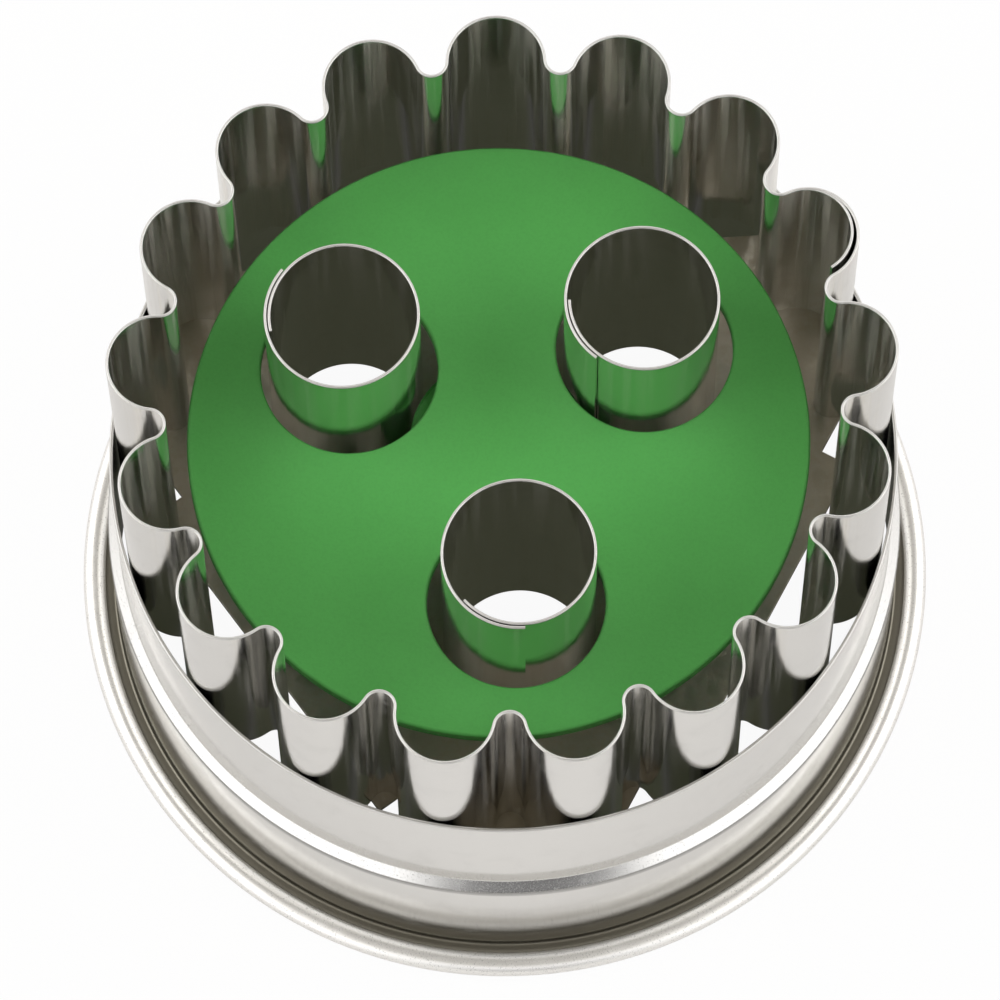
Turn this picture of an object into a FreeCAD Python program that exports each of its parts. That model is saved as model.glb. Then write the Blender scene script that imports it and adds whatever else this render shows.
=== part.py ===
import FreeCAD, Part
import math
import os
import Sketcher

# Linzer cookie cutter: a fluted cutting strip and three rolled eye tubes stand on a sheet-metal
# plate inside a stepped hand ring, and a plastic push-out plate slides between them.
# Frame: millimetres, +Z up, cutting edges upwards, origin in the middle of the ring's foot.

DRIVING_SIZES = {
    # Hand ring
    "ring_tall": 25.0,          # neck's top edge above the foot
    "ring_sheet": 0.25,         # sheet of the ring
    "neck_gap": 0.08,           # room between the flute crests and the neck's inner wall
    "shoulder_level": 13.5,     # where the neck starts to step outwards
    "shoulder_step": 0.68,      # outward step from neck to skirt
    "foot_fillet": 0.25,        # outer fillet from the skirt to the flange
    "flange_flat": 0.44,        # flat part of the flange, between the fillet and the bead
    "curl_size": 0.775,         # outer radius of the rolled bead; the flange lies at its mid-height
    "foot_land": 0.60,          # flat end of the curl, on which the cutter stands
    # Fluted cutting strip
    "cutter_sheet": 0.20,
    "flute_count": 17,
    "flute_depth": 3.8,         # from the innermost surface out to the crests
    "valley_bend_radius": 1.0,  # middle of the sheet in the tight bend
    "strip_tall": 22.0,
    "lap_gap": 0.06,            # air between the lapped ends
    "lap_end_angle": 80.0,      # outer free end, from the lapped flute's own axis
    "lap_tail_angle": 86.0,     # inner free end
    "lap_direction": 26.9,      # where the lapped flute points
    # Eye tubes, each welded in its own place
    "eye_sheet": 0.20,
    "eye_radius": 4.95,         # outside of a tube
    "right_eye_shift": -0.45,   # outwards from the circle of the disc's holes
    "right_eye_angle": 32.6,
    "left_eye_shift": 0.23,
    "left_eye_angle": 154.1,
    "front_eye_shift": 0.14,
    "front_eye_angle": 274.7,
    "eye_lap_gap": 0.06,
    "eye_lap_half": 26.0,       # half of the angle over which a tube's ends lap
    # Base plate
    "plate_level": 15.6,        # underside of the plate
    "plate_sheet": 0.40,
    "plate_angle": 33.5,        # direction of the first corner
    "side_lean": 2.0,           # by which the two front sides turn towards the front
    "window_wide": 6.03,        # from the neck's inner wall in to a side's middle
    "notch_deep": 2.15,         # step in at both ends of a side, beside the tabs
    "notch_start": 12.5,        # from a side's middle to its notch
    "tab_drop": 2.2,            # welding tabs below the plate
    "tab_half_angle": 9.0,
    "collar_tall": 1.5,         # drawn collar that guides the pin
    "collar_wall": 0.40,
    # Push-out plate
    "guide_offset": -0.30,      # the guide sits a little left of the middle
    "pusher_web": 3.3,          # from a hole out to the rim
    "pusher_room": 1.30,        # from the rim to the innermost surface of the strip
    "pusher_thick": 1.1,
    "pusher_edge": 0.25,        # rounding of the upper edge
    "pusher_rise": 10.65,       # from the base plate up to the disc's underside
    "hole_angle": 33.6,         # direction of the first hole
    "hole_room": 0.75,          # by which a hole's radius is larger than a tube's
    "hub_wall": 2.5,            # from the recess for the collar to the outside
    "hub_room": 0.8,            # from the hub to a hole
    "hub_root": 1.2,            # fillet between the hub and the disc
    "recess_room": 0.3,         # room round the collar, and above it
    # Push pin
    "pin_radius": 1.25,
    "pin_fit": 0.05,            # running clearance in the collar
    "pin_grip": 8.0,            # length held in the hub
    "pin_drop": 9.6,            # from the base plate's underside down to the head
    "head_lip": 0.5,            # from the spring out to the head's rim
    "head_thick": 2.0,
    "head_dome": 0.7,           # height of the rounded part of the head
    # Return spring
    "wire_radius": 0.20,
    "spring_turns": 5,
    "spring_room": 0.55,        # from the pin to the wire at the head
    "spring_flare": 2.1,        # growth of the spring's radius, from the head to the plate
}

FULL_TURN = 360
CORNERS = 3
THIRD = FULL_TURN / CORNERS
MITRE = math.tan(math.radians(22.5))    # shift of a 45-degree bend on the sheet's other face
EYES = {
    "eye_tube_right": ("right_eye", -1),    # its sizes' names, and the hand of its lap
    "eye_tube_left": ("left_eye", 1),
    "eye_tube_front": ("front_eye", -1),
}
EYE_LAPS = {"eye_tube_right": 206.5, "eye_tube_left": 166.5, "eye_tube_front": 247.5}


class Size:
    """A number with the spreadsheet expression that it comes from."""

    def __init__(self, value, text=None):
        self.value = float(value)
        self.text = text or f"{self.value:.9g}"

    def _join(self, other, sign, value, turned=False):
        other = size(other)
        first, second = (other, self) if turned else (self, other)
        return Size(value(first.value, second.value), f"({first.text} {sign} {second.text})")

    def __add__(self, other):
        return self._join(other, "+", lambda a, b: a + b)

    def __radd__(self, other):
        return self._join(other, "+", lambda a, b: a + b, True)

    def __sub__(self, other):
        return self._join(other, "-", lambda a, b: a - b)

    def __rsub__(self, other):
        return self._join(other, "-", lambda a, b: a - b, True)

    def __mul__(self, other):
        return self._join(other, "*", lambda a, b: a * b)

    def __rmul__(self, other):
        return self._join(other, "*", lambda a, b: a * b, True)

    def __truediv__(self, other):
        return self._join(other, "/", lambda a, b: a / b)

    def __rtruediv__(self, other):
        return self._join(other, "/", lambda a, b: a / b, True)

    def __neg__(self):
        return 0 - self


def size(number):
    return number if isinstance(number, Size) else Size(number)


def cosine(angle):
    angle = size(angle)
    return Size(math.cos(math.radians(angle.value)), f"cos({angle.text} * 1 deg)")


def sine(angle):
    angle = size(angle)
    return Size(math.sin(math.radians(angle.value)), f"sin({angle.text} * 1 deg)")


def arctangent(rise, run):
    rise, run = size(rise), size(run)
    angle = math.degrees(math.atan2(rise.value, run.value))
    return Size(angle, f"(atan({rise.text} / {run.text}) / 1 deg)")


def other_leg(long_side, leg):
    """Third side of a right-angled triangle."""
    return Size(math.sqrt(long_side.value ** 2 - leg.value ** 2), f"sqrt({long_side.text}^2 - {leg.text}^2)")


def polar(radius, angle, centre=(0, 0)):
    """Point at a radius and an angle from a centre."""
    return size(centre[0]) + radius * cosine(angle), size(centre[1]) + radius * sine(angle)


def between(start, end, share):
    """Point part of the way from start to end."""
    return tuple(a + (b - a) * share for a, b in zip(start, end))


def mirrored(point):
    return point[0], -point[1]


doc = FreeCAD.newDocument("linzer_cutter")
sheet = doc.addObject("Spreadsheet::Sheet", "Sizes")
DIM = {}
for row, (alias, number) in enumerate(DRIVING_SIZES.items(), start=1):
    sheet.set(f"A{row}", alias)
    sheet.set(f"B{row}", str(number))
    sheet.setAlias(f"B{row}", alias)
    DIM[alias] = Size(number, f"Sizes.{alias}")
derived_row = len(DRIVING_SIZES) + 2
doc.recompute()


def worked_out(alias, number):
    """Keeps a derived size in the spreadsheet, so that sketches can name it."""
    global derived_row
    sheet.set(f"A{derived_row}", alias)
    sheet.set(f"B{derived_row}", f"={number.text}".replace("Sizes.", ""))
    sheet.setAlias(f"B{derived_row}", alias)
    derived_row += 1
    DIM[alias] = Size(number.value, f"Sizes.{alias}")
    return DIM[alias]


def new_body(name):
    body = doc.addObject("PartDesign::Body", name)
    body.Label = name
    return body


def bind(item, path, number):
    item.setExpression(path, size(number).text)


def place(body, across=0, along=0, turn=0):
    """Moves a body in the XY plane and turns it about Z."""
    body.Placement = FreeCAD.Placement(FreeCAD.Vector(0, 0, 0), FreeCAD.Vector(0, 0, 1), size(turn).value)
    bind(body, "Placement.Base.x", across)
    bind(body, "Placement.Base.y", along)
    bind(body, "Placement.Rotation.Angle", turn)


def new_sketch(body, name, plane="XY_Plane", level=0, turn=0):
    """Sketch on one of the body's origin planes, lifted along Z where a level is given."""
    sketch = body.newObject("Sketcher::SketchObject", name)
    support = next(item for item in body.Origin.OriginFeatures if item.Role == plane)
    sketch.AttachmentSupport = [(support, "")]
    sketch.MapMode = "FlatFace"
    sketch.AttachmentOffset = FreeCAD.Placement(FreeCAD.Vector(), FreeCAD.Vector(0, 0, 1), size(turn).value)
    if plane == "XY_Plane":
        bind(sketch, "AttachmentOffset.Base.z", level)
        bind(sketch, "AttachmentOffset.Rotation.Angle", turn)
    return sketch


def vector(point):
    return FreeCAD.Vector(size(point[0]).value, size(point[1]).value, 0)


def fix_point(sketch, item, end, point):
    for kind, number in zip(("DistanceX", "DistanceY"), point):
        number = size(number)
        index = sketch.addConstraint(Sketcher.Constraint(kind, -1, 1, item, end, number.value))
        sketch.setExpression(f"Constraints[{index}]", number.text)


def fix_radius(sketch, item, radius):
    index = sketch.addConstraint(Sketcher.Constraint("Radius", item, radius.value))
    sketch.setExpression(f"Constraints[{index}]", radius.text)


def arc_between(start, end, radius, centre, turn):
    """Arc from start to end; turn is 1 anticlockwise and -1 clockwise."""
    first, last = (start, end) if turn > 0 else (end, start)
    middle = vector(centre)
    angles = [math.atan2(*reversed(tuple(vector(point) - middle)[:2])) for point in (first, last)]
    if angles[1] <= angles[0]:
        angles[1] += 2 * math.pi
    circle = Part.Circle(middle, FreeCAD.Vector(0, 0, 1), radius.value)
    return Part.ArcOfCircle(circle, *angles)


def add_outline(sketch, corners, bends=None):
    """Closed outline; bends maps a side's number to (radius, centre, turn)."""
    bends = bends or {}
    sides = []
    for number, start in enumerate(corners):
        end = corners[(number + 1) % len(corners)]
        if number in bends:
            radius, centre, turn = bends[number]
            item = sketch.addGeometry(arc_between(start, end, size(radius), centre, turn), False)
            sides.append((item, 1, 2) if turn > 0 else (item, 2, 1))
        else:
            item = sketch.addGeometry(Part.LineSegment(vector(start), vector(end)), False)
            sides.append((item, 1, 2))
    for number, (item, first, last) in enumerate(sides):
        following = sides[(number + 1) % len(sides)]
        sketch.addConstraint(Sketcher.Constraint("Coincident", item, last, following[0], following[1]))
        fix_point(sketch, item, first, corners[number])
        if number in bends:
            fix_radius(sketch, item, size(bends[number][0]))


def add_circle(sketch, centre, radius):
    circle = Part.Circle(vector(centre), FreeCAD.Vector(0, 0, 1), size(radius).value)
    item = sketch.addGeometry(circle, False)
    fix_point(sketch, item, 3, centre)
    fix_radius(sketch, item, size(radius))


def pad(body, sketch, length, name, downwards=False):
    feature = body.newObject("PartDesign::Pad", name)
    feature.Profile = sketch
    bind(feature, "Length", length)
    feature.Reversed = downwards
    return feature


def revolve(body, sketch, name):
    feature = body.newObject("PartDesign::Revolution", name)
    feature.Profile = sketch
    feature.ReferenceAxis = (sketch, ["V_Axis"])
    feature.Angle = 360
    return feature


def cut_through(body, sketch, length, name):
    """Pocket that must remove material; it is turned round where it points away from the solid."""
    before = body.Shape.Volume
    feature = body.newObject("PartDesign::Pocket", name)
    feature.Profile = sketch
    bind(feature, "Length", length)
    doc.recompute()
    if body.Shape.Volume > before - 1e-6:
        feature.Reversed = True
        doc.recompute()
    if body.Shape.Volume > before - 1e-6:
        raise RuntimeError(f"{name} cuts nothing")
    return feature


def repeat_round(body, feature, copies, spread, name):
    pattern = body.newObject("PartDesign::PolarPattern", name)
    pattern.Originals = [feature]
    axis = next(item for item in body.Origin.OriginFeatures if item.Role == "Z_Axis")
    pattern.Axis = (axis, [""])
    bind(pattern, "Angle", spread)
    bind(pattern, "Occurrences", copies)
    body.Tip = pattern
    return pattern


# From the pin outwards: collar, hub, disc's holes, disc's rim, strip and neck
collar_bore = worked_out("collar_bore", DIM["pin_radius"] + DIM["pin_fit"])
recess_radius = worked_out("recess_radius", collar_bore + DIM["collar_wall"] + DIM["recess_room"])
hub_radius = worked_out("hub_radius", recess_radius + DIM["hub_wall"])
hole_radius = worked_out("hole_radius", DIM["eye_radius"] + DIM["hole_room"])
hole_circle = worked_out("hole_circle", hub_radius + DIM["hub_room"] + hole_radius)
pusher_radius = worked_out("pusher_radius", hole_circle + hole_radius + DIM["pusher_web"])
valley_radius = worked_out("valley_radius", pusher_radius + DIM["pusher_room"])
crest_radius = worked_out("crest_radius", valley_radius + DIM["flute_depth"])
neck_inside = worked_out("neck_inside", crest_radius + DIM["neck_gap"])
spring_narrow = worked_out("spring_narrow", DIM["pin_radius"] + DIM["spring_room"] + DIM["wire_radius"])
# Levels
plate_top = worked_out("plate_top", DIM["plate_level"] + DIM["plate_sheet"])
pusher_under = worked_out("pusher_under", plate_top + DIM["pusher_rise"])
head_top = worked_out("head_top", DIM["plate_level"] - DIM["pin_drop"])


def eye_centre(name):
    eye = EYES[name][0]
    return polar(hole_circle + DIM[f"{eye}_shift"], DIM[f"{eye}_angle"])


def make_outer_ring():
    """Hand ring: neck, shoulder, skirt and narrow flange of one sheet, its edge rolled into a bead."""
    wall = DIM["ring_sheet"]
    neck = worked_out("neck_outside", neck_inside + wall)
    skirt = worked_out("skirt_outside", neck + DIM["shoulder_step"])
    fillet, curl = DIM["foot_fillet"], DIM["curl_size"]
    bead_start = worked_out("bead_start", skirt + fillet + DIM["flange_flat"])
    bead_middle = worked_out("bead_middle", bead_start + curl)
    rim = worked_out("flange_outside", bead_middle + curl)
    land_end = bead_middle - DIM["foot_land"]
    hollow = worked_out("bead_hollow", curl - wall)
    step_end = DIM["shoulder_level"] - DIM["shoulder_step"]
    corners = [
        (neck, DIM["ring_tall"]),
        (neck, DIM["shoulder_level"]),
        (skirt, step_end),
        (skirt, curl + fillet),
        (skirt + fillet, curl),
        (bead_start, curl),
        (bead_middle, 2 * curl),
        (rim, curl),
        (bead_middle, 0),
        (land_end, 0),
        (land_end, wall),
        (bead_middle, wall),
        (bead_middle + hollow, curl),
        (bead_middle, curl + hollow),
        (bead_middle - other_leg(hollow, wall), hollow),
        (skirt + fillet, hollow),
        (skirt - wall, curl + fillet),
        (skirt - wall, step_end - wall * MITRE),
        (neck - wall, DIM["shoulder_level"] - wall * MITRE),
        (neck - wall, DIM["ring_tall"]),
    ]
    fillet_centre, bead_centre = (skirt + fillet, curl + fillet), (bead_middle, curl)
    bends = {
        3: (fillet, fillet_centre, 1),
        5: (curl, bead_centre, -1),
        6: (curl, bead_centre, -1),
        7: (curl, bead_centre, -1),
        11: (hollow, bead_centre, 1),
        12: (hollow, bead_centre, 1),
        13: (hollow, bead_centre, 1),
        15: (fillet + wall, fillet_centre, -1),
    }
    body = new_body("outer_ring")
    profile = new_sketch(body, "ring_profile", "XZ_Plane")
    add_outline(profile, corners, bends)
    revolve(body, profile, "ring_turned")
    return body


def make_fluted_cutter():
    """Fluted strip whose two ends lap in one flute."""
    half_sheet = DIM["cutter_sheet"] / 2
    bend = DIM["valley_bend_radius"]
    pitch = worked_out("flute_pitch", FULL_TURN / DIM["flute_count"])
    valley_centre = polar(valley_radius + half_sheet + bend, pitch / 2)
    crest_over = worked_out("crest_over", crest_radius - half_sheet - valley_centre[0])
    rise = worked_out("valley_rise", valley_centre[1])
    chords = crest_over * crest_over + rise * rise - bend * bend
    flute = worked_out("flute_bend", chords / (2 * (bend + crest_over)))
    flute_centre = (crest_radius - half_sheet - flute, size(0))
    valley_low = mirrored(valley_centre)
    outer_valley = polar(valley_radius + 2 * half_sheet, pitch / 2)
    inner_valley = polar(valley_radius, pitch / 2)
    outer_join = between(flute_centre, valley_centre, (flute + half_sheet) / (flute + bend))
    inner_join = between(flute_centre, valley_centre, (flute - half_sheet) / (flute + bend))
    tight, wide = bend - half_sheet, bend + half_sheet

    body = new_body("fluted_cutter")
    place(body, turn=DIM["lap_direction"])
    plain = new_sketch(body, "flute_outline", level=plate_top, turn=pitch)
    add_outline(
        plain,
        [mirrored(outer_valley), mirrored(outer_join), outer_join, outer_valley,
         inner_valley, inner_join, mirrored(inner_join), mirrored(inner_valley)],
        {0: (tight, valley_low, -1),
         1: (flute + half_sheet, flute_centre, 1),
         2: (tight, valley_centre, -1),
         4: (wide, valley_centre, 1),
         5: (flute - half_sheet, flute_centre, -1),
         6: (wide, valley_low, 1)},
    )
    one_flute = pad(body, plain, DIM["strip_tall"], "one_flute")
    plain_flutes = DIM["flute_count"] - 1
    repeat_round(body, one_flute, plain_flutes, pitch * (plain_flutes - 1), "plain_flutes")

    end, tail = DIM["lap_end_angle"], DIM["lap_tail_angle"]
    under = worked_out("lap_bend", flute - DIM["cutter_sheet"] - DIM["lap_gap"])
    under_centre = between(valley_centre, flute_centre, (under + bend) / (flute + bend))
    lap = new_sketch(body, "lap_outline", level=plate_top)
    add_outline(
        lap,
        [mirrored(outer_valley), mirrored(outer_join), polar(flute + half_sheet, end, flute_centre),
         polar(flute - half_sheet, end, flute_centre), mirrored(inner_join), mirrored(inner_valley)],
        {0: (tight, valley_low, -1),
         1: (flute + half_sheet, flute_centre, 1),
         3: (flute - half_sheet, flute_centre, -1),
         4: (wide, valley_low, 1)},
    )
    add_outline(
        lap,
        [outer_valley, inner_valley, inner_join, polar(under - half_sheet, -tail, under_centre),
         polar(under + half_sheet, -tail, under_centre), outer_join],
        {1: (wide, valley_centre, 1),
         2: (under - half_sheet, under_centre, -1),
         4: (under + half_sheet, under_centre, 1),
         5: (tight, valley_centre, -1)},
    )
    pad(body, lap, DIM["strip_tall"], "lapped_flute")
    return body


def make_eye_tube(name):
    """Tube rolled from a strip: an outer and an inner arc, tangent opposite the lap."""
    hand = EYES[name][1]
    half_sheet = DIM["eye_sheet"] / 2
    shrink = (DIM["eye_sheet"] + DIM["eye_lap_gap"]) / 2
    outer = DIM["eye_radius"] - half_sheet
    inner = outer - shrink
    inner_centre = (-shrink, size(0))
    middle = (size(0), size(0))
    lap = DIM["eye_lap_half"]

    def spot(radius, angle, centre):
        across, along = polar(radius, angle, centre)
        return across, along * hand

    corners = [
        spot(outer + half_sheet, -lap, middle),
        (-outer - half_sheet, size(0)),
        spot(inner + half_sheet, lap, inner_centre),
        spot(inner - half_sheet, lap, inner_centre),
        (half_sheet - outer, size(0)),
        spot(outer - half_sheet, -lap, middle),
    ]
    bends = {
        0: (outer + half_sheet, middle, hand),
        1: (inner + half_sheet, inner_centre, hand),
        3: (inner - half_sheet, inner_centre, -hand),
        4: (outer - half_sheet, middle, -hand),
    }
    body = new_body(name)
    place(body, *eye_centre(name), turn=EYE_LAPS[name])
    rolled = new_sketch(body, f"{name}_outline", level=DIM["plate_level"])
    add_outline(rolled, corners, bends)
    pad(body, rolled, DIM["strip_tall"] + DIM["plate_sheet"], f"{name}_rolled")
    return body


def make_base_plate():
    """Three-cornered plate: windows beside it, a tab down at each corner and a collar for the pin."""
    body = new_body("base_plate")
    side = worked_out("side_out", neck_inside - DIM["window_wide"])
    notch = worked_out("notch_out", side - DIM["notch_deep"])
    reach = worked_out("notch_reach", other_leg(neck_inside, notch))
    first_side = DIM["plate_angle"] + THIRD / 2
    middles = [first_side, first_side + THIRD + DIM["side_lean"], first_side + 2 * THIRD - DIM["side_lean"]]
    corners = []
    bends = {}
    for middle in middles:
        steps = [(notch, -reach), (notch, -DIM["notch_start"]), (side, -DIM["notch_start"])]
        for out, along in steps + [(out, -along) for out, along in reversed(steps)]:
            corner = polar(out, middle)
            corners.append((corner[0] - along * sine(middle), corner[1] + along * cosine(middle)))
        bends[len(corners) - 1] = (neck_inside, (0, 0), 1)
    outline = new_sketch(body, "plate_outline", level=DIM["plate_level"])
    add_outline(outline, corners, bends)
    for name in EYES:
        add_circle(outline, eye_centre(name), DIM["eye_radius"])
    guide = (DIM["guide_offset"], 0)
    add_circle(outline, guide, collar_bore)
    pad(body, outline, DIM["plate_sheet"], "plate_blank")

    collar = new_sketch(body, "collar_outline", level=plate_top)
    add_circle(collar, guide, collar_bore)
    add_circle(collar, guide, collar_bore + DIM["collar_wall"])
    pad(body, collar, DIM["collar_tall"], "pin_collar")

    half, inside = DIM["tab_half_angle"], neck_inside - DIM["plate_sheet"]
    tab = new_sketch(body, "tab_outline", level=DIM["plate_level"], turn=DIM["plate_angle"])
    add_outline(
        tab,
        [polar(neck_inside, -half), polar(neck_inside, half), polar(inside, half), polar(inside, -half)],
        {0: (neck_inside, (0, 0), 1), 2: (inside, (0, 0), -1)},
    )
    one_tab = pad(body, tab, DIM["tab_drop"], "corner_tab", downwards=True)
    repeat_round(body, one_tab, CORNERS, FULL_TURN - THIRD, "corner_tabs")
    return body


def make_ejector_plate():
    """Push-out disc with three clearance holes and a hub that stands on the base plate."""
    body = new_body("ejector_plate")
    place(body, across=DIM["guide_offset"])
    top = pusher_under + DIM["pusher_thick"]
    edge, root = DIM["pusher_edge"], DIM["hub_root"]
    rim, hub = pusher_radius, hub_radius
    bore_end = plate_top + DIM["pin_grip"] + DIM["recess_room"]
    recess_end = plate_top + DIM["collar_tall"] + DIM["recess_room"]
    corners = [
        (0, top),
        (0, bore_end),
        (DIM["pin_radius"], bore_end),
        (DIM["pin_radius"], recess_end),
        (recess_radius, recess_end),
        (recess_radius, plate_top),
        (hub, plate_top),
        (hub, pusher_under - root),
        (hub + root, pusher_under),
        (rim, pusher_under),
        (rim, top - edge),
        (rim - edge, top),
    ]
    bends = {
        7: (root, (hub + root, pusher_under - root), -1),
        10: (edge, (rim - edge, top - edge), 1),
    }
    profile = new_sketch(body, "pusher_profile", "XZ_Plane")
    add_outline(profile, corners, bends)
    revolve(body, profile, "pusher_turned")
    doc.recompute()
    holes = new_sketch(body, "eye_holes", level=top)
    for number in range(CORNERS):
        hole = polar(hole_circle, DIM["hole_angle"] + THIRD * number)
        add_circle(holes, (hole[0] - DIM["guide_offset"], hole[1]), hole_radius)
    cut_through(body, holes, DIM["pusher_thick"] + DIM["hub_root"], "eye_clearances")
    return body


def make_push_pin():
    """Headed pin, gripped by the hub and pressed from inside the ring."""
    body = new_body("push_pin")
    place(body, across=DIM["guide_offset"])
    head, dome = spring_narrow + DIM["wire_radius"] + DIM["head_lip"], DIM["head_dome"]
    foot = head_top - DIM["head_thick"]
    tip = plate_top + DIM["pin_grip"]
    dome_radius = (head * head + dome * dome) / (2 * dome)
    corners = [
        (0, foot),
        (head, foot + dome),
        (head, head_top),
        (DIM["pin_radius"], head_top),
        (DIM["pin_radius"], tip),
        (0, tip),
    ]
    profile = new_sketch(body, "pin_profile", "XZ_Plane")
    add_outline(profile, corners, {0: (dome_radius, (0, foot + dome_radius), 1)})
    revolve(body, profile, "pin_turned")
    return body


def make_return_spring():
    """Conical spring between the base plate and the pin's head; its turns nest when it closes."""
    body = new_body("return_spring")
    place(body, across=DIM["guide_offset"])
    wire = DIM["wire_radius"]
    rise = DIM["pin_drop"] - 2 * wire
    section = new_sketch(body, "wire_section", "XZ_Plane")
    add_circle(section, (spring_narrow, head_top + wire), wire)
    coil = body.newObject("PartDesign::AdditiveHelix", "coil")
    coil.Profile = section
    coil.ReferenceAxis = (section, ["V_Axis"])
    coil.Mode = "height-turns-angle"
    bind(coil, "Height", rise)
    bind(coil, "Turns", DIM["spring_turns"])
    bind(coil, "Angle", arctangent(DIM["spring_flare"], rise))
    return body


def check_and_write(bodies):
    """Writes one file for each sub-part, once every object of the document is sound."""
    doc.recompute()
    for item in doc.Objects:
        if "Invalid" in item.State or "Error" in item.State:
            raise RuntimeError(f"{item.Name} failed: {item.State}")
    for body in bodies:
        if body.Shape.isNull() or not body.Shape.isValid() or len(body.Shape.Solids) != 1:
            raise RuntimeError(f"{body.Label} is not one sound solid")
    os.makedirs("parts", exist_ok=True)
    for body in bodies:
        body.Shape.exportStep(f"parts/{body.Label}.step")
        box = body.Shape.BoundBox
        print(f"{body.Label:16s} volume {body.Shape.Volume:9.2f} mm3  z {box.ZMin:6.2f} to {box.ZMax:6.2f}"
              f"  width {box.XLength:6.2f}")


check_and_write([
    make_outer_ring(),
    make_fluted_cutter(),
    *[make_eye_tube(name) for name in EYES],
    make_base_plate(),
    make_ejector_plate(),
    make_push_pin(),
    make_return_spring(),
])
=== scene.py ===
import math

import bmesh
import bpy
from mathutils import Matrix, Vector


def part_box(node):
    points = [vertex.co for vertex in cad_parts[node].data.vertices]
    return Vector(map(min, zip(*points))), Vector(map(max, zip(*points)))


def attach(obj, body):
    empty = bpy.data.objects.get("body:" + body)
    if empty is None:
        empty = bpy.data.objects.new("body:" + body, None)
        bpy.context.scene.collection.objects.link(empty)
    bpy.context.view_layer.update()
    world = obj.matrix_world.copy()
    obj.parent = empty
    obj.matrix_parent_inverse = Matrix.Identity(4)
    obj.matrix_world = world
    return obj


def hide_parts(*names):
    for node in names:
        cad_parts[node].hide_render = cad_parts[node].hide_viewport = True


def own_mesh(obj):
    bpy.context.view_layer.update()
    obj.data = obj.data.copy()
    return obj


bl_info = {
    "name": "Linzer Cookie Cutter",
    "version": (1, 0, 0),
    "blender": (4, 5, 0),
    "location": "View3D > Sidebar > Linzer Cutter",
    "description": "Dresses the packed linzer cookie cutter in sheet metal and green plastic",
    "category": "Object",
}

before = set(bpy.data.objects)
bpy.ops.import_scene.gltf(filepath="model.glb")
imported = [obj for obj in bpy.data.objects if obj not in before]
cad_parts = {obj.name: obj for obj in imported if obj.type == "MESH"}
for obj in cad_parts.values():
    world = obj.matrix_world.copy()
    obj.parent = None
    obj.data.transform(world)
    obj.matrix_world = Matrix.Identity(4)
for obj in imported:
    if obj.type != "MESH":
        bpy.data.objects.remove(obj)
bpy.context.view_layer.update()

# For each eye tube: metres from the middle, direction, direction of its lap, and the lap's hand.
EYES = {
    "eye_tube_right": (0.01055, 32.6, 206.5, -1),
    "eye_tube_left": (0.01123, 154.1, 166.5, 1),
    "eye_tube_front": (0.01114, 274.7, 247.5, -1),
}
THIRD = 2 * math.pi / 3
WHITE = (1.0, 1.0, 1.0)

# Grains per metre along each axis, and for the marks their depth.
SHEET_MARKS = {"round": ((60.0, 60.0, 9000.0), 0.035), "up": ((2600.0, 2600.0, 90.0), 0.5)}
FOLDS = (700.0, 700.0, 26.0)
STREAKS = (1500.0, 1500.0, 34.0)

# Colour of the tent at each height of a ray, from 0 at the horizon to 1 straight up.
TENT_TOP = [(0.88, (0.11, 0.092, 0.062)), (1.0, (0.095, 0.08, 0.053))]
SIDE_TENT = [(0.0, (1.75, 1.75, 1.78)), (0.68, (1.75, 1.74, 1.72)), (0.79, (0.55, 0.50, 0.40)), *TENT_TOP]
FRONT_TENT = [
    (0.0, (0.05, 0.05, 0.05)), (0.24, (0.07, 0.07, 0.07)), (0.33, (0.21, 0.21, 0.215)),
    (0.46, (0.75, 0.75, 0.79)), (0.68, (1.15, 1.15, 1.20)), (0.79, (0.45, 0.41, 0.34)), *TENT_TOP,
]


def length(name, default, description):
    """Property that holds a length in metres."""
    return bpy.props.FloatProperty(
        name=name, description=description, default=default, unit="LENGTH", subtype="DISTANCE", precision=5)


def angle(name, default, description):
    """Property that holds an angle; its default is given in degrees."""
    return bpy.props.FloatProperty(
        name=name, description=description, default=math.radians(default), unit="ROTATION", subtype="ANGLE")


def colour(name, default, description):
    """Property that holds a scene-linear colour."""
    return bpy.props.FloatVectorProperty(
        name=name, description=description, default=default, size=3, min=0.0, max=1.0, subtype="COLOR")


def share(name, default, description):
    """Property that holds a plain number from 0 to 1."""
    return bpy.props.FloatProperty(
        name=name, description=description, default=default, min=0.0, max=1.0, subtype="FACTOR")


class RingSizes(bpy.types.PropertyGroup):
    """Sizes of the hand ring."""

    tall: length("Height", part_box("outer_ring")[1].z, "Neck's top edge above the foot")
    sheet: length("Sheet", 0.00025, "Thickness of the sheet")
    neck: length("Neck radius", 0.02543, "Outside of the neck")
    shoulder: length("Shoulder", 0.0135, "Height at which the neck starts to step outwards")
    step: length("Step", 0.00068, "Outward step from neck to skirt")
    fillet: length("Foot fillet", 0.00025, "Outer fillet from the skirt to the flange")
    flat: length("Flange", 0.00044, "Flat part of the flange, between the fillet and the bead")
    bead: length("Bead", 0.000775, "Outer radius of the rolled bead; the flange lies at its mid-height")
    land: length("Land", 0.0006, "Flat end of the curl, on which the cutter stands")
    bend: length("Bend", 0.00018, "Inner radius of the shoulder's two bends")


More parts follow.
